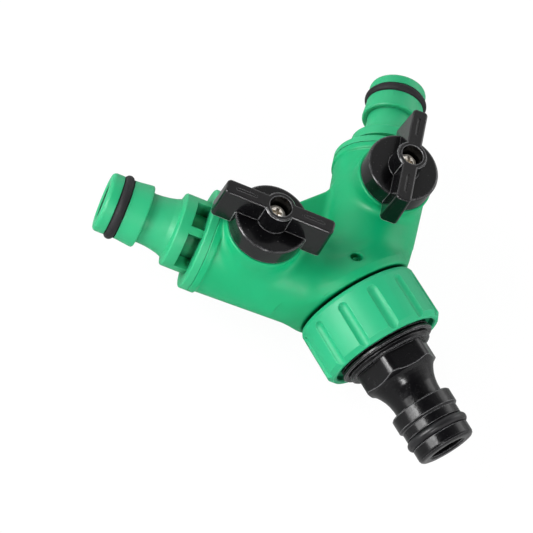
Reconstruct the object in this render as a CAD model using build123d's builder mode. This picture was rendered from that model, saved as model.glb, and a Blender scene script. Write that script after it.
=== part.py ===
from build123d import *
import math
import os

# Two-way garden hose splitter with a ball valve in each outlet arm.
# +Z runs up along the valve stems and the inlet points along -Y. The outlets leave
# towards +Y, the left one on the -X side and the right one on the +X side. All three
# axes cross at (0, HUB_Y, 0), and the origin lies inside the inlet spigot's tip.
# Millimetres and degrees. Names ending in _D are distances from the crossing along
# an arm or along the inlet, _R are radii and _Z are heights.

os.makedirs("parts", exist_ok=True)

# ---- layout and shared sizes --------------------------------------------------
ARM_ANGLE = 44.0          # each outlet arm from the Y axis
HUB_Y = 44.0
STEM_D = 31.15            # valve stem, along the arm

SEAM_D = 43.05            # weld seam between body and outlet
WELD_FLANGE_R = 13.7
CHAMBER_D = 21.9          # floor of the ball chamber, where the inner seat rests
PLUG_D = 40.4             # inner end of the outlet's plug, where the outer seat rests

UP = Vector(0, 0, 1)
HUB = Vector(0, HUB_Y, 0)
ARM_X = math.sin(math.radians(ARM_ANGLE))
ARM_Y = math.cos(math.radians(ARM_ANGLE))
DIRECTION = {
    "left": Vector(-ARM_X, ARM_Y, 0),
    "right": Vector(ARM_X, ARM_Y, 0),
    "inlet": Vector(0, -1, 0),
}
ARMS = ("left", "right")


def profile_plane(way):
    """Level-axis profile: local x is the radius (up), local y the distance along the axis."""
    return Plane(origin=HUB, x_dir=UP, z_dir=UP.cross(DIRECTION[way]))


def cross_plane(way, distance):
    """Plane square to an axis, at a distance from the crossing, local x up."""
    return Plane(origin=HUB + DIRECTION[way] * distance, x_dir=UP, z_dir=DIRECTION[way])


def run_axis(way):
    return Axis(HUB, DIRECTION[way])


def stem_point(way, z=0):
    centre = HUB + DIRECTION[way] * STEM_D
    return (centre.X, centre.Y, z)


def stem_plane(way, z):
    """Level plane on the valve stem, local x along the arm."""
    return Plane(origin=stem_point(way, z), x_dir=DIRECTION[way], z_dir=UP)


def stem_profile(way):
    """Upright profile: local x is the radius from the stem's axis, local y the height."""
    return Plane(
        origin=stem_point(way), x_dir=DIRECTION[way], z_dir=DIRECTION[way].cross(UP)
    )


def stem_axis(way):
    return Axis(stem_point(way), (0, 0, 1))


def save(builder, name):
    builder.part.label = name
    export_step(builder.part, f"parts/{name}.step")


# ---- quick-connect spigots and their O-rings ----------------------------------
TIP_R = 8.0               # tip and rear land
GROOVE_W = 2.85
GROOVE_R = 6.1
SPIGOT_BORE_R = 4.8
BORE_CHAMFER = 0.5
ORING_SECTION_R = 1.3
ORING_CENTRE_R = 7.45

OUTLET_GROOVE_D = 68.45   # edge of the O-ring groove nearest the tip
OUTLET_END_D = OUTLET_GROOVE_D + 3.2
INLET_GROOVE_D = 42.65
INLET_END_D = INLET_GROOVE_D + 3.7

# land_end, ridge_start and ridge_end are measured back from groove_d
OUTLET_SPIGOT = dict(
    groove_d=OUTLET_GROOVE_D, end_d=OUTLET_END_D,
    land_end=3.5, ridge_start=7.4, ridge_end=8.25, ridge_r=8.45, waist_r=6.9,
)
INLET_WAIST_R = 6.7
INLET_SPIGOT = dict(
    groove_d=INLET_GROOVE_D, end_d=INLET_END_D,
    land_end=5.3, ridge_start=5.9, ridge_end=9.75, ridge_r=8.6, waist_r=INLET_WAIST_R,
)


def spigot_outline(groove_d, end_d, land_end, ridge_start, ridge_end, ridge_r, waist_r):
    """Outside of a spigot from its end face back, as (radius, distance)."""
    return [
        (SPIGOT_BORE_R + BORE_CHAMFER, end_d),
        # rounded tip
        (TIP_R - 1.15, end_d), (TIP_R - 0.6, end_d - 0.13),
        (TIP_R - 0.2, end_d - 0.45), (TIP_R, end_d - 1.0),
        # O-ring groove
        (TIP_R, groove_d), (GROOVE_R, groove_d),
        (GROOVE_R, groove_d - GROOVE_W), (TIP_R, groove_d - GROOVE_W),
        # rear land and ridge
        (TIP_R, groove_d - land_end), (ridge_r, groove_d - ridge_start),
        (ridge_r, groove_d - ridge_end + 0.3), (ridge_r - 0.3, groove_d - ridge_end),
        (waist_r, groove_d - ridge_end),
    ]


def build_spigot_oring(way, groove_d, name):
    with BuildPart() as oring:
        with BuildSketch(profile_plane(way)):
            with Locations((ORING_CENTRE_R, groove_d - GROOVE_W / 2)):
                Circle(ORING_SECTION_R)
        revolve(axis=run_axis(way))
    save(oring, name)


# ---- body: one moulding with both arms, the handle pads and the inlet tail ----
ARM_BASE_D = 12.0
ARM_BASE_R = 12.3         # outer radius of the arm at ARM_BASE_D
ARM_END_R = 13.15         # outer radius of the arm at its weld flange
WELD_FLANGE_D = 41.0      # face of the weld flange nearest the crossing

FOOT_R = 16.5
FOOT_D = -0.6             # foot's face towards the inlet, on the outlet side of the crossing
RIM_R = FOOT_R - 0.2      # foot's rim at that face
TRIM_R = 40               # reach of the cuts around the foot

GUSSET_Y = 31.2           # outer edge of the gusset, from the crossing
GUSSET_T = 2.6
GUSSET_OVERLAP = 2.5
GUSSET_CORNER_R = 1.2
VALLEY_R = 3.0

PAD_R = 10.4              # round pad under each handle
PAD_Z = 15.2
STOP_PEG_R = 0.9
STOP_PEG_AT = 6.8         # from the stem's axis
STOP_PEG_H = 2.6
STOP_PEG_SUNK = 0.5       # start of the peg inside the pad
PEG_TURN = {"left": 225, "right": 315}   # about the stem, from the arm's direction

NECK_R = 13.2             # neck that the nut turns on
TAIL_FLANGE_R = 14.2
TAIL_FLANGE_D = 2.75
TAIL_END_D = 5.4

INLET_BORE_R = 9.0
WATERWAY_R = 7.0
CHAMBER_R = 11.0
CHAMBER_CHAMFER = 0.5
STEM_HOLE_R = 3.45

GATE_X = -1.5             # ring-shaped moulding gate mark on top
GATE_Y = 6.6              # from the crossing
GATE_Z = 11.5
GATE_R = 1.6
GATE_PIP_R = 0.6

# (radius, distance)
FOOT_OUTLINE = [
    (0, 3), (FOOT_R - 3.4, 3), (RIM_R, FOOT_D), (FOOT_R - 0.35, -2.6), (13.6, -7.2), (0, -7.2),
]
FOOT_TRIM_OUTLINE = [
    (RIM_R, 1), (RIM_R, FOOT_D), (FOOT_R + 0.1, FOOT_D - 0.3),
    (FOOT_R + 2.6, FOOT_D - 2.2), (TRIM_R, FOOT_D - 2.2), (TRIM_R, 1),
]
TAIL_OUTLINE = [
    (0, -6), (NECK_R, -6), (NECK_R, TAIL_FLANGE_D), (TAIL_FLANGE_R, TAIL_FLANGE_D),
    (TAIL_FLANGE_R, TAIL_FLANGE_D + 0.9), (TAIL_FLANGE_R - 1.1, TAIL_END_D), (0, TAIL_END_D),
]
INLET_BORE_OUTLINE = [
    (0, -3), (INLET_BORE_R, -3), (INLET_BORE_R, TAIL_END_D), (0, TAIL_END_D),
]
ARM_BORE_OUTLINE = [
    (0, 0), (WATERWAY_R, 0), (WATERWAY_R, CHAMBER_D), (CHAMBER_R, CHAMBER_D),
    (CHAMBER_R, SEAM_D - CHAMBER_CHAMFER), (CHAMBER_R + CHAMBER_CHAMFER, SEAM_D), (0, SEAM_D),
]


def is_valley_edge(edge):
    """Crease between the arms on the outlet side of the crossing."""
    middle = edge @ 0.5
    return abs(middle.X) < 0.3 and 10 < middle.Y - HUB_Y < 17 and abs(middle.Z) > 3


def is_gusset_edge(edge):
    """Corner where a gusset face meets an arm."""
    middle = edge @ 0.5
    return (
        abs(abs(middle.Z) - GUSSET_T / 2) < 0.05
        and 20 < middle.Y - HUB_Y < GUSSET_Y - 2
        and 3 < abs(middle.X) < 10
    )


def build_body():
    arm_slope = (ARM_END_R - ARM_BASE_R) / (WELD_FLANGE_D - ARM_BASE_D)
    gusset_x = GUSSET_Y * math.tan(math.radians(ARM_ANGLE)) - ARM_BASE_R + GUSSET_OVERLAP

    with BuildPart() as body:
        # tapered arms
        for way in ARMS:
            with BuildSketch(profile_plane(way)):
                with BuildLine():
                    Polyline(
                        (0, 0), (ARM_BASE_R - arm_slope * ARM_BASE_D, 0),
                        (ARM_END_R, WELD_FLANGE_D), (ARM_END_R, SEAM_D), (0, SEAM_D),
                        close=True,
                    )
                make_face()
            revolve(axis=run_axis(way))

        # round foot that faces the nut
        with BuildSketch(profile_plane("inlet")):
            with BuildLine():
                Polyline(*FOOT_OUTLINE, close=True)
            make_face()
        revolve(axis=run_axis("inlet"))

        # everything on the inlet side of the foot's face goes, and its rim is trimmed round
        with BuildSketch(cross_plane("inlet", FOOT_D)):
            Circle(TRIM_R)
        extrude(amount=40, mode=Mode.SUBTRACT)
        with BuildSketch(profile_plane("inlet")):
            with BuildLine():
                Polyline(*FOOT_TRIM_OUTLINE, close=True)
            make_face()
        revolve(axis=run_axis("inlet"), mode=Mode.SUBTRACT)

        # weld flanges
        for way in ARMS:
            with BuildSketch(cross_plane(way, WELD_FLANGE_D)):
                Circle(WELD_FLANGE_R)
            extrude(amount=SEAM_D - WELD_FLANGE_D)

        # gusset between the arms
        with BuildSketch(Plane(origin=(0, HUB_Y, -GUSSET_T / 2), x_dir=(1, 0, 0), z_dir=(0, 0, 1))):
            with BuildLine():
                Polyline((0, 12), (gusset_x, GUSSET_Y), (-gusset_x, GUSSET_Y), close=True)
            make_face()
        extrude(amount=GUSSET_T)

        # round pads under the handles
        for way in ARMS:
            with BuildSketch(stem_plane(way, 0)):
                Circle(PAD_R)
            extrude(amount=PAD_Z)

        # soft valley where the arms meet, and soft corners along the gusset
        fillet([edge for edge in body.edges() if is_valley_edge(edge)], radius=VALLEY_R)
        fillet([edge for edge in body.edges() if is_gusset_edge(edge)], radius=GUSSET_CORNER_R)

        # inlet tail: neck and snap flange for the swivel nut
        with BuildSketch(profile_plane("inlet")):
            with BuildLine():
                Polyline(*TAIL_OUTLINE, close=True)
            make_face()
        revolve(axis=run_axis("inlet"))

        # inlet bore with a round end
        with BuildSketch(profile_plane("inlet")):
            with BuildLine():
                Polyline(*INLET_BORE_OUTLINE, close=True)
            make_face()
        revolve(axis=run_axis("inlet"), mode=Mode.SUBTRACT)
        with Locations((0, HUB_Y + 3, 0)):
            Sphere(INLET_BORE_R, mode=Mode.SUBTRACT)

        # waterways, ball chambers and stem holes
        for way in ARMS:
            with BuildSketch(profile_plane(way)):
                with BuildLine():
                    Polyline(*ARM_BORE_OUTLINE, close=True)
                make_face()
            revolve(axis=run_axis(way), mode=Mode.SUBTRACT)
            with BuildSketch(stem_plane(way, 5)):
                Circle(STEM_HOLE_R)
            extrude(amount=20, mode=Mode.SUBTRACT)

        # stop peg on each pad
        for way in ARMS:
            with BuildSketch(stem_plane(way, PAD_Z - STOP_PEG_SUNK)):
                with PolarLocations(STOP_PEG_AT, 1, start_angle=PEG_TURN[way]):
                    Circle(STOP_PEG_R)
            extrude(amount=STOP_PEG_H)

        # moulding gate mark
        with BuildSketch(Plane(origin=(GATE_X, HUB_Y + GATE_Y, GATE_Z), z_dir=(0, 0, 1))):
            Circle(GATE_R)
            Circle(GATE_PIP_R, mode=Mode.SUBTRACT)
        extrude(amount=6, mode=Mode.SUBTRACT)
    save(body, "y_body")


# ---- outlet: weld plug, ribbed window ring and spigot -------------------------
OUTLET_FLANGE_D = 45.15
RING_REAR_D = 48.8        # side of the ring nearest the crossing
RING_FRONT_D = 51.9
RING_R = 10.0
CORE_R = 6.6
PLUG_R = 10.95
RIB_W = 2.1
RIB_TURN = {"left": -26.0, "right": 5.5}   # the two narrow ribs about the arm, from +Z
WEB_FROM = 53.0           # wide webs, measured from the narrow ribs
WEB_TO = 110.0

# (radius, distance), from the spigot's waist round to the bore's outer end
OUTLET_REAR_OUTLINE = [
    # flare up to the ring
    (6.8, 59.2), (6.9, 57.4), (7.15, 55.6), (7.55, 53.8), (8.1, 52.4),
    # ring
    (RING_R - 0.25, RING_FRONT_D), (RING_R, RING_FRONT_D - 0.3), (RING_R, RING_REAR_D),
    # core behind the windows, then the weld flange
    (CORE_R, RING_REAR_D), (CORE_R, OUTLET_FLANGE_D), (WELD_FLANGE_R - 0.25, OUTLET_FLANGE_D),
    (WELD_FLANGE_R, OUTLET_FLANGE_D - 0.25), (WELD_FLANGE_R, SEAM_D),
    # plug and bore
    (PLUG_R, SEAM_D), (PLUG_R, PLUG_D + 0.4), (PLUG_R - 0.4, PLUG_D),
    (SPIGOT_BORE_R + 0.7, PLUG_D), (SPIGOT_BORE_R, PLUG_D + 1.2),
    (SPIGOT_BORE_R, OUTLET_END_D - BORE_CHAMFER),
]


def build_outlet(way):
    with BuildPart() as outlet:
        with BuildSketch(profile_plane(way)):
            with BuildLine():
                Polyline(*spigot_outline(**OUTLET_SPIGOT), *OUTLET_REAR_OUTLINE, close=True)
            make_face()
        revolve(axis=run_axis(way))

        # narrow ribs and wide webs that bridge the windows
        with BuildSketch(cross_plane(way, OUTLET_FLANGE_D - 0.5)):
            with Locations(Location((0, 0, 0), (0, 0, RIB_TURN[way]))):
                Rectangle(2 * RING_R + 2, RIB_W)
            for half_turn in (0, 180):
                angles = [
                    math.radians(RIB_TURN[way] + half_turn + angle)
                    for angle in (WEB_FROM, (WEB_FROM + WEB_TO) / 2, WEB_TO)
                ]
                rim = [(2 * RING_R * math.cos(a), 2 * RING_R * math.sin(a)) for a in angles]
                with BuildLine():
                    Polyline((0, 0), *rim, close=True)
                make_face()
            Circle(RING_R, mode=Mode.INTERSECT)
            Circle(CORE_R - 0.4, mode=Mode.SUBTRACT)
        extrude(amount=RING_REAR_D - OUTLET_FLANGE_D + 1.0)
    save(outlet, f"{way}_outlet")


# ---- valve: seats, ball, stem and stem O-ring ---------------------------------
BALL_R = 8.8
PORT_R = 5.0
PORT_CUT = 12             # half length of the port's cut
SEAT_R = 10.92
SEAT_BORE_R = PORT_R + 0.5
SEAT_GAP = 0.03
SEAT_SPANS = {"inner": (CHAMBER_D, 25.6), "outer": (36.7, PLUG_D)}   # from and to

SLOT_Z = 6.2              # floor of the ball's slot
TANG_T = 3.0
TANG_L = 7.6
SLOT_GAP = 0.1

STEM_R = 3.4
STEM_FLANGE_Z = 8.95
STEM_FLANGE_TOP = 10.08
STEM_FLANGE_R = 4.2
STEM_GROOVE_Z = 11.9
STEM_GROOVE_TOP = 13.6
STEM_GROOVE_R = 1.9
STEM_ORING_R = 2.68
STEM_ORING_SECTION_R = 0.75
SQUARE_W = 4.6            # across flats
SQUARE_Z = 15.35
STEM_TOP_Z = 20.6
SCREW_HOLE_R = 1.22

# (radius, height)
STEM_OUTLINE = [
    (0, STEM_FLANGE_Z), (STEM_FLANGE_R, STEM_FLANGE_Z), (STEM_FLANGE_R, STEM_FLANGE_TOP),
    (STEM_R, STEM_FLANGE_TOP), (STEM_R, STEM_GROOVE_Z), (STEM_GROOVE_R, STEM_GROOVE_Z),
    (STEM_GROOVE_R, STEM_GROOVE_TOP), (STEM_R, STEM_GROOVE_TOP),
    (STEM_R, SQUARE_Z), (0, SQUARE_Z),
]


def build_seat(way, side):
    start_d, end_d = SEAT_SPANS[side]
    with BuildPart() as seat:
        with BuildSketch(profile_plane(way)):
            with Locations(((SEAT_BORE_R + SEAT_R) / 2, (start_d + end_d) / 2)):
                Rectangle(SEAT_R - SEAT_BORE_R, end_d - start_d)
            with Locations((0, STEM_D)):
                Circle(BALL_R + SEAT_GAP, mode=Mode.SUBTRACT)
        revolve(axis=run_axis(way))
    save(seat, f"{way}_{side}_seat")


def build_ball(way):
    """Ball with its through port and the slot for the stem's tang."""
    with BuildPart() as ball:
        with Locations(stem_point(way)):
            Sphere(BALL_R)
        with BuildSketch(cross_plane(way, STEM_D - PORT_CUT)):
            Circle(PORT_R)
        extrude(amount=2 * PORT_CUT, mode=Mode.SUBTRACT)
        with BuildSketch(stem_plane(way, SLOT_Z)):
            Rectangle(TANG_T + SLOT_GAP, 20)
        extrude(amount=6, mode=Mode.SUBTRACT)
    save(ball, f"{way}_ball")


def build_stem(way):
    """Stem with tang, flange, O-ring groove, square drive and screw hole."""
    with BuildPart() as stem:
        with BuildSketch(stem_profile(way)):
            with BuildLine():
                Polyline(*STEM_OUTLINE, close=True)
            make_face()
        revolve(axis=stem_axis(way))
        with BuildSketch(stem_plane(way, SLOT_Z + SLOT_GAP)):
            Rectangle(TANG_T, TANG_L)
        extrude(amount=STEM_FLANGE_Z - SLOT_Z)
        with BuildSketch(stem_plane(way, SQUARE_Z)):
            RectangleRounded(SQUARE_W, SQUARE_W, 0.4)
        extrude(amount=STEM_TOP_Z - SQUARE_Z)
        with BuildSketch(stem_plane(way, STEM_GROOVE_TOP + 0.5)):
            Circle(SCREW_HOLE_R)
        extrude(amount=10, mode=Mode.SUBTRACT)
    save(stem, f"{way}_stem")


def build_stem_oring(way):
    with BuildPart() as oring:
        with BuildSketch(stem_profile(way)):
            with Locations((STEM_ORING_R, (STEM_GROOVE_Z + STEM_GROOVE_TOP) / 2)):
                Circle(STEM_ORING_SECTION_R)
        revolve(axis=stem_axis(way))
    save(oring, f"{way}_stem_oring")


# ---- handle and its screw -----------------------------------------------------
DISC_R = 10.0
DISC_Z = 15.4
DISC_TOP = 21.1
WING_Z = 16.3
WING_TOP = 27.3
WING_BOTTOM_SIZE = (30.2, 5.0)   # length, width
WING_TOP_SIZE = (29.6, 4.1)
WING_CORNER_R = 1.1
WING_TOP_FILLET = 0.45
GRIP_AT = 9.3             # grip recesses, from the stem's axis
GRIP_L = 5.6
GRIP_W = 0.6
GRIP_DEPTH = 0.15
HUB_R = 4.15
HUB_BASE_R = 4.35
CUP_R = 8.7
CUP_TOP = 19.5
CUP_WALL = 0.4            # left around the hub
SCREW_WELL_R = 2.95
SCREW_SEAT_Z = 22.3
SCREW_PASS_R = 1.5
STOP_RIB_W = 1.5
STOP_GAP = 0.12           # between stop rib and peg

SCREW_SHANK_R = 1.2
SCREW_HEAD_R = 2.6
SCREW_TIP_Z = STEM_GROOVE_TOP + 1.2
RECESS_BOTTOM = (1.2, 0.45)      # cross recess: length, width
RECESS_TOP = (3.3, 0.85)

# (radius, height)
HANDLE_OUTLINE = [
    (0, DISC_Z), (DISC_R - 0.2, DISC_Z), (DISC_R, DISC_Z + 0.2), (DISC_R, DISC_TOP - 0.7),
    (DISC_R - 0.06, DISC_TOP - 0.42), (DISC_R - 0.2, DISC_TOP - 0.2),
    (DISC_R - 0.42, DISC_TOP - 0.06), (DISC_R - 0.7, DISC_TOP),
    (HUB_BASE_R, DISC_TOP), (HUB_R + 0.05, WING_TOP - 3.2),
    (HUB_R, WING_TOP - 0.3), (HUB_R - 0.3, WING_TOP), (0, WING_TOP),
]
SCREW_OUTLINE = [
    (0, SCREW_TIP_Z), (SCREW_SHANK_R - 0.5, SCREW_TIP_Z), (SCREW_SHANK_R, SCREW_TIP_Z + 0.7),
    (SCREW_SHANK_R, SCREW_SEAT_Z), (SCREW_HEAD_R, SCREW_SEAT_Z),
    (SCREW_HEAD_R, SCREW_SEAT_Z + 0.9), (2.3, SCREW_SEAT_Z + 1.4),
    (1.6, SCREW_SEAT_Z + 1.75), (0, SCREW_SEAT_Z + 1.9),
]


def build_handle(way):
    """Cup over the pad, wing along the arm and hub with a screw well."""
    # One stop rib meets the peg when open. The other meets it once the handle has
    # turned by swing * 90 degrees.
    swing = 1 if way == "left" else -1
    contact_angle = math.degrees(
        math.asin((STOP_PEG_R + STOP_RIB_W / 2 + STOP_GAP) / STOP_PEG_AT)
    )
    rib_turns = (
        PEG_TURN[way] + swing * contact_angle,
        PEG_TURN[way] - swing * (90 + contact_angle),
    )

    with BuildPart() as handle:
        # wing
        with BuildSketch(stem_plane(way, WING_Z)):
            RectangleRounded(*WING_BOTTOM_SIZE, WING_CORNER_R)
        with BuildSketch(stem_plane(way, WING_TOP)):
            RectangleRounded(*WING_TOP_SIZE, WING_CORNER_R)
        loft()
        fillet(handle.faces().sort_by(Axis.Z)[-1].edges(), WING_TOP_FILLET)

        # two shallow grip recesses in the wing's top
        with BuildSketch(stem_plane(way, WING_TOP)):
            with Locations((GRIP_AT, 0), (-GRIP_AT, 0)):
                SlotOverall(GRIP_L, GRIP_W)
        extrude(amount=-GRIP_DEPTH, mode=Mode.SUBTRACT)

        # disc and hub
        with BuildSketch(stem_profile(way)):
            with BuildLine():
                Polyline(*HANDLE_OUTLINE, close=True)
            make_face()
        revolve(axis=stem_axis(way))

        # screw well and the hole below it
        with BuildSketch(stem_plane(way, SCREW_SEAT_Z)):
            Circle(SCREW_WELL_R)
        extrude(amount=8, mode=Mode.SUBTRACT)
        with BuildSketch(stem_plane(way, DISC_Z)):
            Circle(SCREW_PASS_R)
        extrude(amount=8, mode=Mode.SUBTRACT)

        # hollow of the cup, and the socket for the stem's square
        with BuildSketch(stem_plane(way, DISC_Z)):
            Circle(CUP_R)
            Circle(HUB_R + CUP_WALL, mode=Mode.SUBTRACT)
        extrude(amount=CUP_TOP - DISC_Z, mode=Mode.SUBTRACT)
        with BuildSketch(stem_plane(way, DISC_Z)):
            RectangleRounded(SQUARE_W + 0.04, SQUARE_W + 0.04, 0.35)
        extrude(amount=STEM_TOP_Z + 0.2 - DISC_Z, mode=Mode.SUBTRACT)

        # stop ribs in the cup
        with BuildSketch(stem_plane(way, DISC_Z + 0.1)):
            for turn in rib_turns:
                with PolarLocations((HUB_R + CUP_R) / 2 + 0.2, 1, start_angle=turn):
                    Rectangle(CUP_R - HUB_R + 0.2, STOP_RIB_W)
        extrude(amount=CUP_TOP - DISC_Z)
    save(handle, f"{way}_handle")


def build_handle_screw(way):
    """Pan-head screw that clamps the handle to the stem."""
    with BuildPart() as screw:
        with BuildSketch(stem_profile(way)):
            with BuildLine():
                Polyline(*SCREW_OUTLINE, close=True)
            make_face()
        revolve(axis=stem_axis(way))
        # tapered cross recess
        with BuildSketch(stem_plane(way, SCREW_SEAT_Z + 0.7)):
            Rectangle(*RECESS_BOTTOM)
            Rectangle(*reversed(RECESS_BOTTOM))
        with BuildSketch(stem_plane(way, SCREW_SEAT_Z + 2.0)):
            Rectangle(*RECESS_TOP)
            Rectangle(*reversed(RECESS_TOP))
        loft(mode=Mode.SUBTRACT)
    save(screw, f"{way}_handle_screw")


# ---- G 3/4 thread between nut and adapter, right hand -------------------------
THREAD_PITCH = 1.814      # 14 threads per inch
THREAD_FLANK = math.tan(math.radians(27.5))
THREAD_SUNK = 0.08        # how far the ridge's base goes into the wall
MALE_CREST_R = 13.15
MALE_CORE_R = 12.05
MALE_CREST_W = 0.3
MALE_THREAD_D = 8.6       # start of the first turn
MALE_TURNS = 2.7
FEMALE_ROOT_R = 13.35
FEMALE_CREST_R = 12.15
FEMALE_CREST_W = 0.34
FEMALE_THREAD_D = MALE_THREAD_D - THREAD_PITCH / 2
FEMALE_TURNS = 2.98


def thread_plane(helix, distance):
    """Plane through the inlet axis and the helix's start, x the radius, y along the axis."""
    centre = HUB + DIRECTION["inlet"] * distance
    radial = ((helix @ 0) - centre).normalized()
    return Plane(origin=centre, x_dir=radial, z_dir=radial.cross(DIRECTION["inlet"]))


def thread_outline(base_r, crest_r, crest_w):
    """Section of the thread's ridge, as (radius, distance)."""
    half_base = crest_w / 2 + abs(crest_r - base_r) * THREAD_FLANK
    return [
        (base_r, -half_base), (crest_r, -crest_w / 2), (crest_r, crest_w / 2), (base_r, half_base),
    ]


# ---- swivel nut ---------------------------------------------------------------
NUT_TOP_D = 0.1
NUT_END_D = 15.7
NUT_R = 16.9
NUT_LIP_R = 13.28
NUT_MOUTH_R = 14.7
NUT_MOUTH_D = 13.7
NUT_RECESS_R = TAIL_FLANGE_R + 0.1   # room for the body's snap flange
NUT_RECESS_D = TAIL_FLANGE_D - 0.1
FLUTES = 12
FLUTE_R = 1.75
FLUTE_AT = NUT_R + 1.0
FLUTE_D = 3.9

# (radius, distance)
NUT_OUTLINE = [
    (NUT_LIP_R, NUT_TOP_D), (NUT_R - 1.3, NUT_TOP_D), (NUT_R - 0.45, NUT_TOP_D + 0.35),
    (NUT_R, NUT_TOP_D + 1.3), (NUT_R + 0.1, NUT_END_D - 1.3), (NUT_R - 0.9, NUT_END_D),
    (NUT_MOUTH_R + 0.3, NUT_END_D), (NUT_MOUTH_R, NUT_END_D - 0.4),
    (NUT_MOUTH_R, NUT_MOUTH_D + 0.3), (FEMALE_ROOT_R, NUT_MOUTH_D), (FEMALE_ROOT_R, 5.9),
    (NUT_RECESS_R, 5.7), (NUT_RECESS_R, NUT_RECESS_D), (NUT_LIP_R, NUT_RECESS_D),
]


def build_swivel_nut():
    with BuildPart() as nut:
        with BuildSketch(profile_plane("inlet")):
            with BuildLine():
                Polyline(*NUT_OUTLINE, close=True)
            make_face()
        revolve(axis=run_axis("inlet"))

        # grip flutes, round towards the body and open at the mouth
        with BuildSketch(cross_plane("inlet", FLUTE_D)):
            with PolarLocations(FLUTE_AT, FLUTES, start_angle=15):
                Circle(FLUTE_R)
        extrude(amount=20, mode=Mode.SUBTRACT)
        with Locations(cross_plane("inlet", FLUTE_D)):
            with PolarLocations(FLUTE_AT, FLUTES, start_angle=15):
                Sphere(FLUTE_R, mode=Mode.SUBTRACT)

        # internal thread
        with BuildLine() as helix:
            Helix(
                pitch=THREAD_PITCH, height=FEMALE_TURNS * THREAD_PITCH, radius=FEMALE_ROOT_R,
                center=HUB + DIRECTION["inlet"] * FEMALE_THREAD_D, direction=DIRECTION["inlet"],
            )
        ridge = thread_outline(FEMALE_ROOT_R + THREAD_SUNK, FEMALE_CREST_R, FEMALE_CREST_W)
        with BuildSketch(thread_plane(helix.line, FEMALE_THREAD_D)):
            with BuildLine():
                Polyline(*ridge, close=True)
            make_face()
        sweep(path=helix.line, is_frenet=True)
    save(nut, "swivel_nut")


# ---- washer -------------------------------------------------------------------
WASHER_D = 5.42
WASHER_END_D = 7.78
WASHER_BORE_R = 8.6
WASHER_R = 11.9


def build_inlet_washer():
    with BuildPart() as washer:
        with BuildSketch(profile_plane("inlet")):
            with Locations(((WASHER_BORE_R + WASHER_R) / 2, (WASHER_D + WASHER_END_D) / 2)):
                RectangleRounded(WASHER_R - WASHER_BORE_R, WASHER_END_D - WASHER_D, 0.3)
        revolve(axis=run_axis("inlet"))
    save(washer, "inlet_washer")


# ---- inlet adapter: male thread, collar, hexagon and spigot -------------------
ADAPTER_TOP_D = 7.8
ADAPTER_MOUTH_R = 8.6     # wide bore at the threaded end
COLLAR_D = 14.2
COLLAR_STEP_D = 15.95
COLLAR_END_D = 17.15
COLLAR_R = 13.4
STEP_R = 12.0             # smaller shoulder beyond the collar
STEP_END_D = 18.7
HEX_CORNER_R = 11.2       # before its corners are rounded
HEX_ROUND = 3.2
HEX_TURN = 10.0           # middle of one flat, from +Z towards -X
HEX_BORE_R = 8.7
HEX_END_D = 24.1

# (radius, distance), from the spigot's waist round to the bore's outer end
ADAPTER_REAR_OUTLINE = [
    # flare, then the barrel inside the hexagon
    (INLET_WAIST_R, 32.4), (6.8, 30.6), (7.05, 29.0), (7.5, 27.5), (8.1, 26.2),
    (8.7, 25.2), (9.25, 24.6), (8.9, 24.6), (8.9, STEP_END_D),
    # shoulder
    (STEP_R - 0.6, STEP_END_D), (STEP_R - 0.3, STEP_END_D - 0.25),
    (STEP_R, COLLAR_END_D + 0.35), (STEP_R - 0.25, COLLAR_END_D + 0.15),
    (STEP_R - 0.25, COLLAR_END_D),
    # collar
    (COLLAR_R - 0.35, COLLAR_END_D), (COLLAR_R, COLLAR_END_D - 0.35),
    (COLLAR_R, COLLAR_STEP_D + 0.3), (COLLAR_R - 0.3, COLLAR_STEP_D),
    (COLLAR_R - 0.9, COLLAR_STEP_D), (COLLAR_R - 0.9, COLLAR_STEP_D - 0.3),
    (COLLAR_R - 0.4, COLLAR_STEP_D - 0.45), (COLLAR_R - 0.4, COLLAR_D),
    # thread core
    (MALE_CORE_R, COLLAR_D), (MALE_CORE_R, ADAPTER_TOP_D + 0.4),
    (MALE_CORE_R - 0.4, ADAPTER_TOP_D),
    # bore
    (ADAPTER_MOUTH_R, ADAPTER_TOP_D), (ADAPTER_MOUTH_R, 18.5), (SPIGOT_BORE_R + 0.6, 24.0),
    (SPIGOT_BORE_R, 27), (SPIGOT_BORE_R, INLET_END_D - BORE_CHAMFER),
]
HEX_TRIM_OUTLINE = [
    (9.25, HEX_END_D + 0.5), (HEX_CORNER_R - 1.0, HEX_END_D - 0.1),
    (HEX_CORNER_R, HEX_END_D - 0.9), (14, HEX_END_D - 0.9), (14, 30), (9.25, 30),
]


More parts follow.
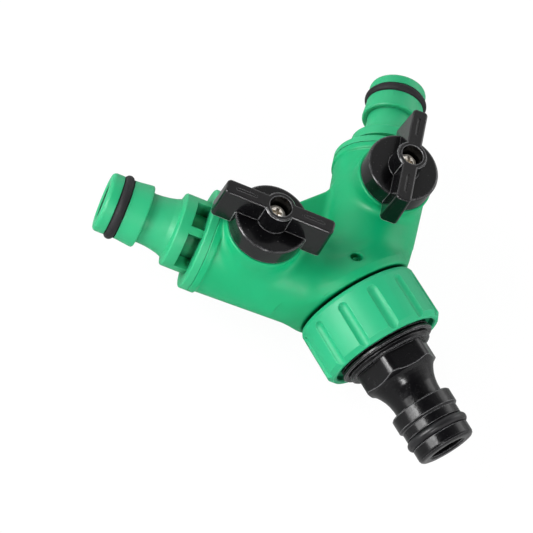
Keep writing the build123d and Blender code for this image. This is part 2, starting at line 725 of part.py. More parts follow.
def build_inlet_adapter():
    with BuildPart() as adapter:
        with BuildSketch(profile_plane("inlet")):
            with BuildLine():
                Polyline(*spigot_outline(**INLET_SPIGOT), *ADAPTER_REAR_OUTLINE, close=True)
            make_face()
        revolve(axis=run_axis("inlet"))

        # spanner hexagon, its corners turned off at the spigot end
        with BuildSketch(cross_plane("inlet", STEP_END_D - 0.3)) as hexagon:
            RegularPolygon(HEX_CORNER_R, 6, rotation=HEX_TURN + 30)
            fillet(hexagon.vertices(), radius=HEX_ROUND)
            Circle(HEX_BORE_R, mode=Mode.SUBTRACT)
        extrude(amount=HEX_END_D - STEP_END_D + 0.8)
        with BuildSketch(profile_plane("inlet")):
            with BuildLine():
                Polyline(*HEX_TRIM_OUTLINE, close=True)
            make_face()
        revolve(axis=run_axis("inlet"), mode=Mode.SUBTRACT)

        # external thread
        with BuildLine() as helix:
            Helix(
                pitch=THREAD_PITCH, height=MALE_TURNS * THREAD_PITCH, radius=MALE_CORE_R,
                center=HUB + DIRECTION["inlet"] * MALE_THREAD_D, direction=DIRECTION["inlet"],
            )
        ridge = thread_outline(MALE_CORE_R - THREAD_SUNK, MALE_CREST_R, MALE_CREST_W)
        with BuildSketch(thread_plane(helix.line, MALE_THREAD_D)):
            with BuildLine():
                Polyline(*ridge, close=True)
            make_face()
        sweep(path=helix.line, is_frenet=True)
    save(adapter, "inlet_adapter")


# ---- build everything ---------------------------------------------------------
build_body()
for arm in ARMS:
    build_outlet(arm)
    build_spigot_oring(arm, OUTLET_GROOVE_D, f"{arm}_outlet_oring")
    for seat_side in SEAT_SPANS:
        build_seat(arm, seat_side)
    build_ball(arm)
    build_stem(arm)
    build_stem_oring(arm)
    build_handle(arm)
    build_handle_screw(arm)
build_swivel_nut()
build_inlet_washer()
build_inlet_adapter()
build_spigot_oring("inlet", INLET_GROOVE_D, "adapter_oring")
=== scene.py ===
"""Looks and studio for a Y-shaped splitter with two handled valves.

The inlet axis lies along Y with the inlet towards -Y. Two arms leave the hub 44 degrees either
side of +Y, the left one towards -X. The handles stand on top, towards +Z. The scene is in
metres; sizes of the product are given in mm and scaled by MM.
"""
import math

import bmesh
import bpy
import numpy as np
import openvdb
from mathutils import Matrix, Vector


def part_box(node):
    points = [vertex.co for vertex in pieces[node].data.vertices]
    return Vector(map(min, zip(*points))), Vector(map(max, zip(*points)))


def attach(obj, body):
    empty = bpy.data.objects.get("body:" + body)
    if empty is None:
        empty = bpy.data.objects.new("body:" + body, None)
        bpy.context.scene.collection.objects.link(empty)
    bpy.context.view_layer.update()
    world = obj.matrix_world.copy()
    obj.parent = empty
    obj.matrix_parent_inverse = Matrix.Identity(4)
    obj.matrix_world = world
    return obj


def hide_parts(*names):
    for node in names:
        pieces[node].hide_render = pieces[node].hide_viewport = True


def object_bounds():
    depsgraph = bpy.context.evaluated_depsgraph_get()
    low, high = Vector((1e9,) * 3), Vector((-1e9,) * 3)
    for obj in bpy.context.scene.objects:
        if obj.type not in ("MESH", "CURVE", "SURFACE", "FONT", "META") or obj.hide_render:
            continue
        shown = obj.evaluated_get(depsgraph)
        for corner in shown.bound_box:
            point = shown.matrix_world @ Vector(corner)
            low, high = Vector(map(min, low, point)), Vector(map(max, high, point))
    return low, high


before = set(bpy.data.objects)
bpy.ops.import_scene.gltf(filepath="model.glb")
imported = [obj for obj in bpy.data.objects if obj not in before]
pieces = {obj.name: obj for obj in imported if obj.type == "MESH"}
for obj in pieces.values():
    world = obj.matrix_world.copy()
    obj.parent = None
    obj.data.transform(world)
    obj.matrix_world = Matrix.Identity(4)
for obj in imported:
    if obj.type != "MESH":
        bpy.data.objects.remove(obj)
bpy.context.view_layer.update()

# ------------------------------------------------------------------ driving dimensions, mm

MM = 0.001
HUB_Y = 44.0                  # where the arm axes meet on the inlet axis
ARM_ANGLE = math.radians(44.0)
ARM_SIN = math.sin(ARM_ANGLE)
ARM_COS = math.cos(ARM_ANGLE)
STEM_ALONG = 31.15            # stem axis, along the arm from the hub
STEM_X = STEM_ALONG * ARM_SIN
STEM_Y = STEM_ALONG * ARM_COS     # from the hub
SEAM = 43.05                  # end of the moulded arm, along the arm from the hub
OUTLET_BORE_R = 4.9
GATE_X, GATE_Y = -1.5, 6.6    # moulding gate, y from the hub


# ------------------------------------------------------------------ shader graphs


class Graph:
    """Adds nodes to a shader tree. An input can be a plain value or another node's output."""

    SCALAR_RESULTS = ("DOT_PRODUCT", "LENGTH", "DISTANCE")

    def __init__(self, tree):
        self.tree = tree

    def feed(self, socket, value):
        if isinstance(value, bpy.types.NodeSocket):
            self.tree.links.new(value, socket)
        else:
            socket.default_value = value

    def node(self, kind, inputs=None, **settings):
        node = self.tree.nodes.new(kind)
        for key, value in settings.items():
            setattr(node, key, value)
        for key, value in (inputs or {}).items():
            self.feed(node.inputs[key], value)
        return node

    def math(self, operation, *values):
        return self.node("ShaderNodeMath", dict(enumerate(values)), operation=operation).outputs[0]

    def vector(self, operation, *values):
        node = self.node("ShaderNodeVectorMath", dict(enumerate(values)), operation=operation)
        return node.outputs["Value" if operation in self.SCALAR_RESULTS else "Vector"]

    def remap(self, value, given=(0.0, 1.0), to=(0.0, 1.0), **settings):
        """Map the range given on to the range to."""
        inputs = {"Value": value, "From Min": given[0], "From Max": given[1],
                  "To Min": to[0], "To Max": to[1]}
        return self.node("ShaderNodeMapRange", inputs, **settings).outputs[0]

    def mix_number(self, factor, first, second):
        inputs = {0: factor, 2: first, 3: second}
        return self.node("ShaderNodeMix", inputs, data_type="FLOAT").outputs[0]

    def mix_color(self, factor, first, second, **settings):
        inputs = {0: factor, 6: first, 7: second}
        return self.node("ShaderNodeMix", inputs, data_type="RGBA", **settings).outputs[2]

    def split(self, vector):
        return self.node("ShaderNodeSeparateXYZ", {0: vector}).outputs


class Surface(Graph):
    """A new material with a principled shader."""

    def __init__(self, name):
        self.material = bpy.data.materials.new(name)
        self.material.use_nodes = True
        super().__init__(self.material.node_tree)
        self.tree.nodes.clear()
        self.output = self.node("ShaderNodeOutputMaterial")
        self.shader = self.node("ShaderNodeBsdfPrincipled")
        self.place = self.node("ShaderNodeTexCoord").outputs["Object"]

    def noise(self, scale, detail, rough, distortion=0.0, stretch=None):
        place = self.place
        if stretch:
            mapping = self.node("ShaderNodeMapping", {"Vector": place, "Scale": stretch})
            place = mapping.outputs["Vector"]
        inputs = {"Vector": place, "Scale": scale, "Detail": detail, "Roughness": rough,
                  "Distortion": distortion}
        return self.node("ShaderNodeTexNoise", inputs).outputs["Fac"]

    def openness(self, reach, samples):
        """Ambient occlusion within reach mm: 1 in the open, 0 when enclosed."""
        inputs = {"Distance": reach * MM}
        return self.node("ShaderNodeAmbientOcclusion", inputs, samples=samples).outputs["AO"]

    def bump(self, height, normal, strength, distance):
        inputs = {"Strength": strength, "Distance": distance, "Height": height,
                  "Normal": normal}
        return self.node("ShaderNodeBump", inputs).outputs["Normal"]


# ------------------------------------------------------------------ plastic


def grip_highlight_share(surface, side, keep):
    """Share of the painted edge highlight on a handle: keep on the middle line of the grip, 1 at
    its hub and ends.
    """
    stem = (side * STEM_X * MM, (HUB_Y + STEM_Y) * MM, 0.0)
    offset = surface.vector("SUBTRACT", surface.place, stem)
    across = surface.vector("DOT_PRODUCT", offset, (-ARM_COS, side * ARM_SIN, 0.0))
    width = surface.math("ABSOLUTE", across)
    along = surface.vector("DOT_PRODUCT", offset, (side * ARM_SIN, ARM_COS, 0.0))
    length = surface.math("ABSOLUTE", along)
    sides = surface.remap(width, given=(1.0 * MM, 1.3 * MM), to=(keep, 1.0))
    ends = surface.remap(length, given=(12.2 * MM, 12.6 * MM))
    hub = surface.remap(length, given=(3.6 * MM, 4.0 * MM), to=(1.0, 0.0))
    return surface.math("MAXIMUM", surface.math("MAXIMUM", sides, ends), hub)


def edge_highlight(surface, rounded, normal, nearby, amount, grip):
    """How much painted highlight an outer edge gets: an edge is where the rounded normal leaves
    the true one.
    """
    agreement = surface.vector("DOT_PRODUCT", rounded, normal)
    edge = surface.remap(agreement, given=(0.995, 0.86), to=(0.0, amount))
    spots = surface.noise(scale=420.0, detail=4.0, rough=0.7)
    patchy = surface.remap(spots, given=(0.3, 0.6), to=(0.25, 1.0))
    highlight = surface.math("MULTIPLY", edge, patchy)
    # the painted highlight stays off inner corners
    outer = surface.remap(nearby, given=(0.62, 0.85))
    highlight = surface.math("MULTIPLY", highlight, outer)
    if grip:
        highlight = surface.math("MULTIPLY", highlight, grip_highlight_share(surface, **grip))
    return highlight


def open_hollows(surface, normal, shade, amount):
    """Painted light on the hollows of an outlet that face up, and painted shade on the wall of its
    bore.
    """
    facing_up = surface.vector("DOT_PRODUCT", normal, (-0.10, 0.20, 0.97))
    lit = surface.remap(facing_up, given=(0.62, 0.88), to=(0.0, amount))
    _, y, z = x_y_z = surface.split(surface.place)
    outwards = surface.math("ABSOLUTE", x_y_z["X"])
    # the painted light stops further along the arm, where the bore starts
    along = surface.math("MULTIPLY", outwards, ARM_SIN)
    along = surface.math("MULTIPLY_ADD", y, ARM_COS, along)
    hub_along = HUB_Y * ARM_COS
    before_bore = surface.remap(
        along, given=((hub_along + 53.0) * MM, (hub_along + 56.0) * MM), to=(1.0, 0.0))
    lit = surface.math("MULTIPLY", lit, before_bore)
    # distance from the arm axis
    across = surface.math("MULTIPLY", outwards, ARM_COS)
    across = surface.math("MULTIPLY_ADD", y, -ARM_SIN, across)
    across = surface.math("ADD", across, HUB_Y * MM * ARM_SIN)
    section = surface.node("ShaderNodeCombineXYZ", {"X": across, "Y": z}).outputs[0]
    radius = surface.vector("LENGTH", section)
    # painted shade: the bore wall is darkened to 0.30 of its colour
    bore = surface.remap(
        radius, given=(OUTLET_BORE_R * MM, (OUTLET_BORE_R + 0.12) * MM), to=(0.30, 1.0))
    return surface.math("MULTIPLY", surface.mix_number(lit, shade, 1.0), bore)


def even_gate_shade(surface, position, shade):
    """Give the shallow moulding gate an even, slight painted shade (0.88) in place of the deep
    painted shade of the hollows.
    """
    gate_radius = 2.1
    flat = surface.vector("MULTIPLY", position, (1.0, 1.0, 0.0))
    gate = (GATE_X * MM, (HUB_Y + GATE_Y) * MM, 0.0)
    distance = surface.vector("DISTANCE", flat, gate)
    inside = surface.remap(
        distance, given=(gate_radius * MM, gate_radius * 1.25 * MM), to=(1.0, 0.0))
    return surface.mix_number(inside, shade, 0.88)


def plastic(name, color, dark, rough, rough_var=0.05, grain=0.12, bevel=0.3, wave=0.2,
            spec=0.5, metallic=0.0, sss=0.0, dust=0.0, edge_highlight_color=None, edge_highlight_mix=0.0,
            grip=None, crevice=0.0, reach=3.5, crevice_range=(0.12, 0.70), gate=False,
            open_up=0.0, worn_top=None):
    """Moulded plastic: mottled colour, fine grain and soft edges of radius bevel mm.

    color, dark: the two colours of the mottling
    grain, wave: strengths of the fine and the coarse bump
    edge_highlight_color, edge_highlight_mix: colour and amount of the painted highlight on outer
    edges; crevice and worn_top need edge_highlight_color
    grip: arguments of grip_highlight_share
    crevice, reach, crevice_range: strength of the painted shade in hollows, its reach in mm, its
    openness range
    gate, open_up: whether the gate gets only an even, slight painted shade, how much painted light
    the hollows that face up get
    worn_top: height in mm above which the top is rubbed dull
    """
    surface = Surface(name)
    shader = surface.shader.inputs
    flow = surface.noise(scale=42.0, detail=3.0, rough=0.5, distortion=0.8)
    streak = surface.noise(
        scale=95.0, detail=4.0, rough=0.55, distortion=0.4, stretch=(1.0, 0.35, 1.0))
    fine = surface.noise(scale=1500.0, detail=4.0, rough=0.6)
    mottle = surface.math("ADD", flow, streak)
    paint = surface.mix_color(
        surface.remap(mottle, given=(0.78, 1.2)), (*dark, 1), (*color, 1))
    rounded = surface.node(
        "ShaderNodeBevel", {"Radius": bevel * MM}, samples=6).outputs["Normal"]
    roughness = surface.remap(
        fine, given=(0.3, 0.7), to=(rough - rough_var, rough + rough_var))
    shader["Specular IOR Level"].default_value = spec

    # painted highlight: outer edges are lightened where rounded edges would catch the light
    if edge_highlight_color:
        geometry = surface.node("ShaderNodeNewGeometry").outputs
        nearby = surface.openness(reach=1.2, samples=4)
        highlight = edge_highlight(surface, rounded, geometry["Normal"], nearby, edge_highlight_mix, grip)
        paint = surface.mix_color(highlight, paint, (*edge_highlight_color, 1))

    if dust:
        specks = surface.noise(scale=2600.0, detail=2.0, rough=0.5)
        cover = surface.remap(specks, given=(0.70, 0.76), to=(0.0, dust))
        paint = surface.mix_color(cover, paint, (0.25, 0.25, 0.25, 1))
        smear = surface.noise(scale=160.0, detail=5.0, rough=0.65, distortion=1.2)
        dulling = surface.remap(smear, given=(0.5, 0.7), to=(0.0, 0.1))
        roughness = surface.math("ADD", roughness, dulling)

    if crevice:
        # painted shade: seams, windows and wells are darkened by ambient occlusion, in colour and
        # in reflections
        openness = surface.openness(reach=reach, samples=6)
        shade = surface.remap(openness, given=crevice_range, to=(1.0 - crevice, 1.0))
        if open_up:
            shade = open_hollows(surface, geometry["Normal"], shade, open_up)
        if gate:
            shade = even_gate_shade(surface, geometry["Position"], shade)
        paint = surface.mix_color(1.0, paint, shade, blend_type="MULTIPLY")
        gloss = surface.math("MULTIPLY", shade, spec)
        corner = surface.remap(nearby, given=(0.5, 0.8), to=(0.3, 1.0))
        gloss = surface.math("MULTIPLY", gloss, corner)
        surface.feed(shader["Specular IOR Level"], gloss)

    if worn_top is not None:
        # the top of the grip is rubbed dull by fingers
        height = surface.split(geometry["Position"])["Z"]
        top = surface.remap(height, given=((worn_top - 0.25) * MM, worn_top * MM))
        rubbing = surface.remap(streak, given=(0.35, 0.7), to=(0.35, 1.0))
        rubbed = surface.math("MULTIPLY", top, rubbing)
        paint = surface.mix_color(rubbed, paint, (0.012, 0.0115, 0.012, 1))
        roughness = surface.math("MULTIPLY_ADD", rubbed, 0.06, roughness)

    surface.feed(shader["Base Color"], paint)
    surface.feed(shader["Roughness"], roughness)
    shader["Metallic"].default_value = metallic
    if sss:
        shader["Subsurface Weight"].default_value = sss
        shader["Subsurface Radius"].default_value = (0.3, 1.0, 0.6)
        shader["Subsurface Scale"].default_value = 0.0011
    grained = surface.bump(fine, rounded, strength=grain, distance=0.00006)
    waved = surface.bump(mottle, grained, strength=wave, distance=0.0004)
    surface.feed(shader["Normal"], waved)
    surface.feed(surface.output.inputs["Surface"], surface.shader.outputs["BSDF"])
    return surface.material


# ------------------------------------------------------------------ materials of the pieces

GREEN = dict(sss=0.12, dust=0.05)
HANDLE = dict(
    color=(0.0045, 0.0045, 0.005), dark=(0.0025, 0.0025, 0.003), rough=0.14,
    edge_highlight_color=(0.78, 0.78, 0.80), edge_highlight_mix=1.0, dust=0.35, wave=0.25, bevel=0.42,
    spec=0.46, crevice=0.9, reach=7.0, worn_top=27.2)

body_green = plastic(
    "green_plastic", color=(0.001, 0.365, 0.143), dark=(0.0005, 0.330, 0.126), rough=0.42,
    edge_highlight_color=(0.10, 0.62, 0.32), edge_highlight_mix=0.5, wave=0.12, spec=0.34, crevice=0.80,
    gate=True, **GREEN)
# painted sheen: the outlets' green is paler and redder than the body's, standing in for a haze of
# reflected light
outlet_green = plastic(
    "outlet_green", color=(0.021, 0.396, 0.172), dark=(0.013, 0.362, 0.152), rough=0.44,
    edge_highlight_color=(0.13, 0.64, 0.36), edge_highlight_mix=0.3, wave=0.16, spec=0.40, crevice=0.97,
    open_up=0.9, crevice_range=(0.22, 0.80), **GREEN)
nut_green = plastic(
    "nut_plastic", color=(0.014, 0.395, 0.178), dark=(0.007, 0.355, 0.156), rough=0.48,
    edge_highlight_color=(0.13, 0.66, 0.36), edge_highlight_mix=0.6, wave=0.15, spec=0.34, crevice=0.55, **GREEN)
left_black = plastic("handle_black", grip=dict(side=-1, keep=0.35), **HANDLE)
right_black = plastic("handle_black_right", grip=dict(side=1, keep=0.0), **HANDLE)
adapter_black = plastic(
    "adapter_black", color=(0.004, 0.0038, 0.0045), dark=(0.002, 0.0019, 0.0025), rough=0.20,
    edge_highlight_color=(0.34, 0.34, 0.35), edge_highlight_mix=0.85, dust=0.2, wave=0.34, bevel=0.45,
    spec=0.31, crevice=0.6, reach=4.0)
rubber = plastic(
    "seal_rubber", color=(0.020, 0.019, 0.021), dark=(0.012, 0.0115, 0.013), rough=0.62,
    rough_var=0.1, grain=0.3, bevel=0.05, spec=0.22)
ring_black = plastic(
    "ring_black", color=(0.012, 0.0115, 0.013), dark=(0.007, 0.0068, 0.008), rough=0.36,
    rough_var=0.06, grain=0.2, bevel=0.05, spec=0.42)
seat_white = plastic(
    "seat_white", color=(0.78, 0.78, 0.75), dark=(0.70, 0.70, 0.67), rough=0.35,
    edge_highlight_color=(0.85, 0.85, 0.83), edge_highlight_mix=0.3)
stem_grey = plastic(
    "stem_grey", color=(0.42, 0.43, 0.42), dark=(0.34, 0.35, 0.34), rough=0.38,
    edge_highlight_color=(0.6, 0.6, 0.6), edge_highlight_mix=0.4, bevel=0.2)
nickel = plastic(
    "screw_nickel", color=(1.0, 0.97, 0.92), dark=(0.90, 0.80, 0.66), rough=0.34,
    rough_var=0.10, grain=0.2, bevel=0.14, edge_highlight_color=(1.0, 0.97, 0.90), edge_highlight_mix=0.9,
    metallic=0.7)

# pieces not listed are white
PIECE_MATERIALS = {
    "y_body": body_green,
    "left_outlet": outlet_green, "right_outlet": outlet_green,
    "swivel_nut": nut_green,
    "left_stem": stem_grey, "right_stem": stem_grey,
    "left_handle": left_black, "right_handle": right_black,
    "inlet_adapter": adapter_black,
    "left_outlet_oring": rubber, "right_outlet_oring": rubber,
    "adapter_oring": ring_black,
    "left_stem_oring": rubber, "right_stem_oring": rubber,
    "inlet_washer": rubber,
    "left_handle_screw": nickel, "right_handle_screw": nickel,
}
for name, piece in pieces.items():
    piece.data.materials.clear()
    piece.data.materials.append(PIECE_MATERIALS.get(name, seat_white))


# ------------------------------------------------------------------ body moulding
# Arms, pads, foot and gusset flow into each other, so the body is a signed distance field with
# soft unions, turned into one closed mesh. Lengths are in mm, with y measured from the hub.

ARM_START, ARM_START_R = 12.0, 12.3      # the arm is a cone between these two stations
ARM_END, ARM_END_R = 41.0, 13.15
ARM_SLOPE = (ARM_END_R - ARM_START_R) / (ARM_END - ARM_START)
FLANGE_R = 13.7
FOOT_R = 16.3
FOOT_BASE_Y = 0.6
PAD_R, PAD_TOP = 10.4, 15.2
WEB_HALF_THICKNESS = 1.3
WEB_START_Y, WEB_END_Y = 12.0, 31.2
WEB_SPREAD = 0.9657                      # half width of the web per mm of y
PEG_R, PEG_ORBIT = 0.9, 6.8              # orbit is round the stem axis
PEG_BOTTOM, PEG_TOP = 14.7, 17.3
PEG_ANGLE = math.radians(315.0)
GATE_R, GATE_FLOOR = 1.55, 12.0
GATE_PIN_R, GATE_PIN_TOP = 0.6, 12.9
INLET_BORE_R, INLET_BORE_END_Y = 9.0, 3.0
STEM_HOLE_R, STEM_HOLE_BOTTOM = 3.45, 5.0

# radius from the inlet axis, distance from the hub towards the inlet
FOOT_OUTLINE = [(0, -7.2), (13.0, -7.2), (16.0, -3.0), (FOOT_R, -0.6), (FOOT_R, 1.5), (0, 1.5)]
TAIL_OUTLINE = [
    (0, -6.0), (13.2, -6.0), (13.2, 2.75), (14.2, 2.75), (14.2, 3.65), (13.1, 5.4), (0, 5.4)]
# radius from the arm axis, distance from the hub along the arm
CHAMBER_OUTLINE = [
    (0, 0), (7.0, 0), (7.0, 21.9), (11.0, 21.9), (11.0, 42.55), (11.5, SEAM), (11.5, 46.0),
    (0, 46.0)]


def soft_union(first, second, blend):
    share = np.clip(0.5 + 0.5 * (second - first) / blend, 0.0, 1.0)
    return second + (first - second) * share - blend * share * (1.0 - share)


def soft_overlap(first, second, blend):
    return -soft_union(-first, -second, blend)


def polygon_distance(radius, distance, outline):
    """Signed distance to a closed outline of (radius, distance) points."""
    nearest = None
    sign = np.ones(radius.shape, np.float32)
    for i, (start_r, start_d) in enumerate(outline):
        end_r, end_d = outline[(i + 1) % len(outline)]
        edge_r, edge_d = end_r - start_r, end_d - start_d
        from_r, from_d = radius - start_r, distance - start_d
        share = (from_r * edge_r + from_d * edge_d) / (edge_r * edge_r + edge_d * edge_d)
        share = np.clip(share, 0, 1)
        gap_r, gap_d = from_r - edge_r * share, from_d - edge_d * share
        squared = gap_r * gap_r + gap_d * gap_d
        nearest = squared if nearest is None else np.minimum(nearest, squared)
        above, below = distance >= start_d, distance < end_d
        left = edge_r * from_d > edge_d * from_r
        crosses = (above & below & left) | (~above & ~below & ~left)
        sign = np.where(crosses, -sign, sign)
    return sign * np.sqrt(nearest)


def arm_cone(radius, along):
    return np.maximum(
        radius - (ARM_START_R + ARM_SLOPE * (along - ARM_START)), -along - 1.0)


def both_arms(x_out, y, z, arm_r, along):
    """The arm on this side, blended with its mirror image from the other side."""
    far_along = -x_out * ARM_SIN + y * ARM_COS
    far_across = x_out * ARM_COS + y * ARM_SIN
    far_r = np.sqrt(far_across * far_across + z * z)
    near = soft_overlap(arm_cone(arm_r, along), along - SEAM, 0.25)
    far = np.maximum(arm_cone(far_r, far_along), far_along - SEAM)
    return soft_union(near, far, 5.0)


def add_foot(field, y, inlet_r):
    """Round foot over the nut, cut flat below and trimmed to a widening round rim."""
    foot = polygon_distance(inlet_r, -y, FOOT_OUTLINE)
    field = soft_union(field, foot, 4.5)
    field = soft_overlap(field, FOOT_BASE_Y - y, 0.5)
    # 1.2 mm wider per mm of y; 0.64 turns the radial gap into a distance
    rim = (inlet_r - (FOOT_R + np.clip(y - FOOT_BASE_Y, 0, 8) * 1.2)) * 0.64
    rim = np.where(y < 6.0, rim, -5.0).astype(np.float32)
    return soft_overlap(field, rim, 0.4)


def gusset(x_out, y, z):
    web = soft_overlap(np.abs(z) - WEB_HALF_THICKNESS, y - WEB_END_Y, 0.8)
    web = np.maximum(web, WEB_START_Y - y)
    return np.maximum(web, x_out - y * WEB_SPREAD)


def handle_pad(stem_r, z):
    return soft_overlap(np.maximum(stem_r - PAD_R, -z), z - PAD_TOP, 0.4)


def weld_flange(arm_r, along):
    flange = soft_overlap(arm_r - FLANGE_R, ARM_END - along, 0.35)
    return soft_overlap(flange, along - SEAM, 0.3)


def stop_peg(x_out, y, z):
    along = (x_out - STEM_X) * ARM_SIN + (y - STEM_Y) * ARM_COS
    across = (x_out - STEM_X) * ARM_COS - (y - STEM_Y) * ARM_SIN
    peg_r = np.sqrt((along - PEG_ORBIT * math.cos(PEG_ANGLE)) ** 2
                    + (across + PEG_ORBIT * math.sin(PEG_ANGLE)) ** 2)
    return np.maximum(peg_r - PEG_R, np.maximum(PEG_BOTTOM - z, z - PEG_TOP))


def gate_mark(x, y, z):
    """Round dimple with a small pin standing in it."""
    gate_r = np.sqrt((x - GATE_X) ** 2 + (y - GATE_Y) ** 2)
    dimple = soft_overlap(gate_r - GATE_R, GATE_FLOOR - z, 0.4)
    pin = soft_overlap(gate_r - GATE_PIN_R, z - GATE_PIN_TOP, 0.3)
    return soft_overlap(dimple, -pin, 0.3)


def cavities(x, y, z, inlet_r, arm_r, along, stem_r):
    """Inlet bore with a round end, ball chambers and stem holes."""
    hollow = np.maximum(inlet_r - INLET_BORE_R, y - INLET_BORE_END_Y)
    round_end = np.sqrt(x * x + (y - INLET_BORE_END_Y) ** 2 + z * z) - INLET_BORE_R
    hollow = np.minimum(hollow, round_end)
    hollow = np.minimum(hollow, polygon_distance(arm_r, along, CHAMBER_OUTLINE))
    return np.minimum(hollow, np.maximum(stem_r - STEM_HOLE_R, STEM_HOLE_BOTTOM - z))


def body_field(x, y, z):
    y = y - HUB_Y
    x_out = np.abs(x)          # apart from the gate mark, both sides are the same
    along = x_out * ARM_SIN + y * ARM_COS
    across = x_out * ARM_COS - y * ARM_SIN
    arm_r = np.sqrt(across * across + z * z)
    inlet_r = np.sqrt(x * x + z * z)
    stem_r = np.sqrt((x_out - STEM_X) ** 2 + (y - STEM_Y) ** 2)

    field = both_arms(x_out, y, z, arm_r, along)
    field = add_foot(field, y, inlet_r)
    field = soft_union(field, gusset(x_out, y, z), 2.0)
    field = soft_union(field, handle_pad(stem_r, z), 2.2)
    field = soft_union(field, weld_flange(arm_r, along), 0.35)
    field = np.minimum(field, polygon_distance(inlet_r, -y, TAIL_OUTLINE))
    field = np.minimum(field, stop_peg(x_out, y, z))
    field = soft_overlap(field, -gate_mark(x, y, z), 0.35)
    hollow = cavities(x, y, z, inlet_r, arm_r, along, stem_r)
    return np.maximum(field, -hollow).astype(np.float32)


def field_gradient(field, points):
    probe = 0.04
    slopes = []
    for axis in range(3):
        ahead, behind = points.copy(), points.copy()
        ahead[:, axis] += probe
        behind[:, axis] -= probe
        slopes.append(field(*ahead.T) - field(*behind.T))
    return np.stack(slopes, 1) / (2 * probe)


def field_mesh(name, field, low, high, step):
    """Closed quad mesh of a field's zero surface, its vertices pulled on to the surface."""
    axes = [np.arange(low[i], high[i] + step, step, dtype=np.float32) for i in range(3)]
    samples = np.empty([len(axis) for axis in axes], np.float32)
    slab = 24                  # the grid is filled in slabs to save memory
    for i in range(0, len(axes[0]), slab):
        x, y, z = np.meshgrid(axes[0][i:i + slab], axes[1], axes[2], indexing="ij")
        samples[i:i + slab] = field(x, y, z)
    grid = openvdb.FloatGrid(background=3.0)
    grid.copyFromArray(samples)
    points, quads = grid.convertToQuads(isovalue=0.0)
    origin = np.array([axis[0] for axis in axes], np.float32)
    points = np.array(points, np.float32) * step + origin

    for _ in range(2):
        gradient = field_gradient(field, points)
        steepness = (gradient * gradient).sum(1)
        move = -(field(*points.T) / np.maximum(steepness, 0.3))[:, None] * gradient
        length = np.linalg.norm(move, axis=1, keepdims=True)
        points = points + move * np.minimum(1.0, 0.45 * step / np.maximum(length, 1e-6))

    mesh = bpy.data.meshes.new(name)
    mesh.from_pydata((points * MM).tolist(), [], np.array(quads)[:, ::-1].tolist())
    mesh.validate()
    editable = bmesh.new()
    editable.from_mesh(mesh)
    bmesh.ops.recalc_face_normals(editable, faces=editable.faces)
    editable.to_mesh(mesh)
    editable.free()
    mesh.shade_smooth()
    return link_object(name, mesh)


def link_object(name, data):
    made = bpy.data.objects.new(name, data)
    bpy.context.scene.collection.objects.link(made)
    return made


GRID_MARGIN = 1.2
body_low, body_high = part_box("y_body")
body = field_mesh(
    "y_body_moulding", body_field,
    low=[v / MM - GRID_MARGIN for v in body_low],
    high=[v / MM + GRID_MARGIN for v in body_high],
    step=0.3)
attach(body, "body")
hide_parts("y_body")
body.data.materials.append(body_green)

# ------------------------------------------------------------------ floor, metres

FLOOR_HALF = 3.0
FLOOR_GAP = 0.0005            # below the lowest point of the product
FLOOR_WHITE = 0.93            # share of plain white the camera sees in the floor


def floor_paper():
    """Matt paper, nearly plain white to the camera and dimmer in reflections."""
    surface = Surface("floor_paper")
    paper = surface.noise(scale=30.0, detail=5.0, rough=0.6)
    tint = surface.remap(paper, given=(0.2, 0.8), to=(0.70, 0.74))
    ray = surface.node("ShaderNodeLightPath").outputs
    dimming = surface.remap(ray["Is Glossy Ray"], to=(1.0, 0.62))
    shader = surface.shader.inputs
    surface.feed(shader["Base Color"], surface.math("MULTIPLY", tint, dimming))
    shader["Roughness"].default_value = 0.95
    shader["Specular IOR Level"].default_value = 0.1
    glow = surface.node("ShaderNodeEmission", {"Color": (1, 1, 1, 1), "Strength": 1.03})
    whiteness = surface.math("MULTIPLY", ray["Is Camera Ray"], FLOOR_WHITE)
    blend = surface.node("ShaderNodeMixShader", {
        0: whiteness, 1: surface.shader.outputs["BSDF"], 2: glow.outputs["Emission"]})
    surface.feed(surface.output.inputs["Surface"], blend.outputs["Shader"])
    return surface.material


floor_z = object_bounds()[0][2] - FLOOR_GAP
floor_mesh = bpy.data.meshes.new("floor")
corners = [(-1, -1), (1, -1), (1, 1), (-1, 1)]
floor_mesh.from_pydata(
    [(x * FLOOR_HALF, y * FLOOR_HALF, floor_z) for x, y in corners], [], [(0, 1, 2, 3)])
floor = link_object("floor", floor_mesh)
floor_mesh.materials.append(floor_paper())

# ------------------------------------------------------------------ world


def studio_world():
    """White tent, darker round the camera and overhead, plain white to the camera itself."""
    world = bpy.data.worlds.new("studio")
    bpy.context.scene.world = world
    world.use_nodes = True
    graph = Graph(world.node_tree)
    background = world.node_tree.nodes["Background"].inputs
    background["Color"].default_value = (1, 1, 1, 1)
    direction = graph.node("ShaderNodeTexCoord").outputs["Generated"]
    towards_camera = graph.vector("DOT_PRODUCT", direction, (-0.507, -0.270, 0.819))
    around_camera = graph.remap(
        towards_camera, given=(0.25, 0.95), to=(1.0, 0.10), interpolation_type="SMOOTHSTEP")
    overhead = graph.remap(
        graph.split(direction)["Z"], given=(0.35, 0.85), to=(1.0, 0.42),
        interpolation_type="SMOOTHSTEP")
    tent = graph.math("MULTIPLY", around_camera, overhead)
    camera_ray = graph.node("ShaderNodeLightPath").outputs["Is Camera Ray"]
    graph.feed(background["Strength"], graph.mix_number(camera_ray, tent, 1.0))


studio_world()

# ------------------------------------------------------------------ lights, metres and watts

LIGHT_AIM = (0.0, 0.05, 0.0)
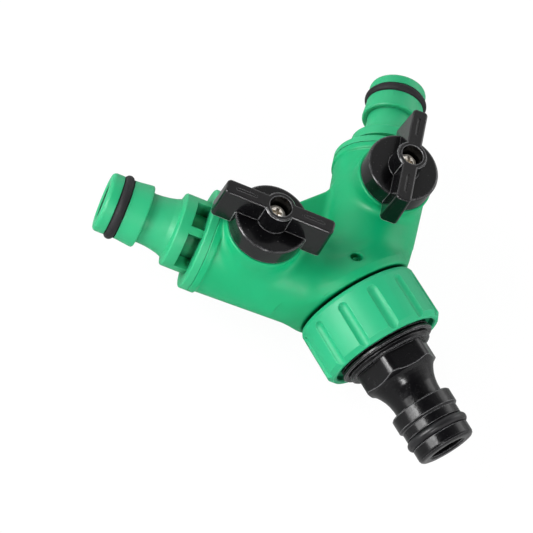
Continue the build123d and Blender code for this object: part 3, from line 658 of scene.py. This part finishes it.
# name, place, width and height, power, seen in reflections, lights diffusely
LIGHTS = [
    ("key", (-0.46, 0.44, 0.40), (0.42, 0.32), 3.7, False, True),
    ("sheen", (-0.46, 0.44, 0.40), (0.42, 0.32), 1.5, True, False),
    ("rim", (-0.59, 0.24, 0.36), (0.24, 0.24), 4.4, True, False),
    ("left", (-0.62, 0.22, 0.14), (0.28, 0.20), 1.8, True, True),
    ("front", (-0.38, -0.48, 0.42), (0.07, 0.18), 2.0, True, True),
    ("low", (0.16, -0.60, 0.24), (0.30, 0.20), 2.1, False, True),
    ("glance", (0.16, -0.60, 0.24), (0.30, 0.20), 0.9, True, False),
    ("right", (0.50, 0.05, 0.30), (0.24, 0.30), 0.45, True, True),
    # reaches only the screw heads, which sit deep in their wells
    ("well", (0.30, 0.22, 0.50), (0.16, 0.16), 0.8, True, True),
]


def area_light(name, place, size, power, glossy, diffuse):
    light = bpy.data.lights.new(name, "AREA")
    light.shape = "RECTANGLE"
    light.size, light.size_y = size
    light.energy = power
    lamp = link_object(name, light)
    lamp.location = place
    aim = Vector(LIGHT_AIM) - Vector(place)
    lamp.rotation_euler = aim.to_track_quat("-Z", "Y").to_euler()
    lamp.visible_glossy = glossy
    lamp.visible_diffuse = diffuse
    return lamp


lamps = {row[0]: area_light(*row) for row in LIGHTS}
wells = bpy.data.collections.new("wells")
for screw in ("left_handle_screw", "right_handle_screw"):
    wells.objects.link(pieces[screw])
lamps["well"].light_linking.receiver_collection = wells
lamps["well"].light_linking.blocker_collection = wells

# ------------------------------------------------------------------ camera, metres

CAMERA_PLACE = (-0.308095, -0.092632, 0.469126)
CAMERA_RIGHT = (0.79854, -0.50486, 0.32768)
CAMERA_BACK = (-0.50668, -0.27003, 0.81874)

camera_data = bpy.data.cameras.new("camera")
camera_data.sensor_width = 36.0
camera_data.lens = 147.782364
camera_data.clip_start = 0.01
camera_data.clip_end = 10
camera = bpy.data.objects.new("camera", camera_data)
back = Vector(CAMERA_BACK).normalized()
up = back.cross(Vector(CAMERA_RIGHT).normalized()).normalized()
right = up.cross(back).normalized()
# columns: right, up, back, place
camera.matrix_world = Matrix((*zip(right, up, back, CAMERA_PLACE), (0, 0, 0, 1)))
bpy.context.scene.collection.objects.link(camera)
bpy.context.scene.camera = camera
bpy.context.scene.view_settings.view_transform = "Standard"
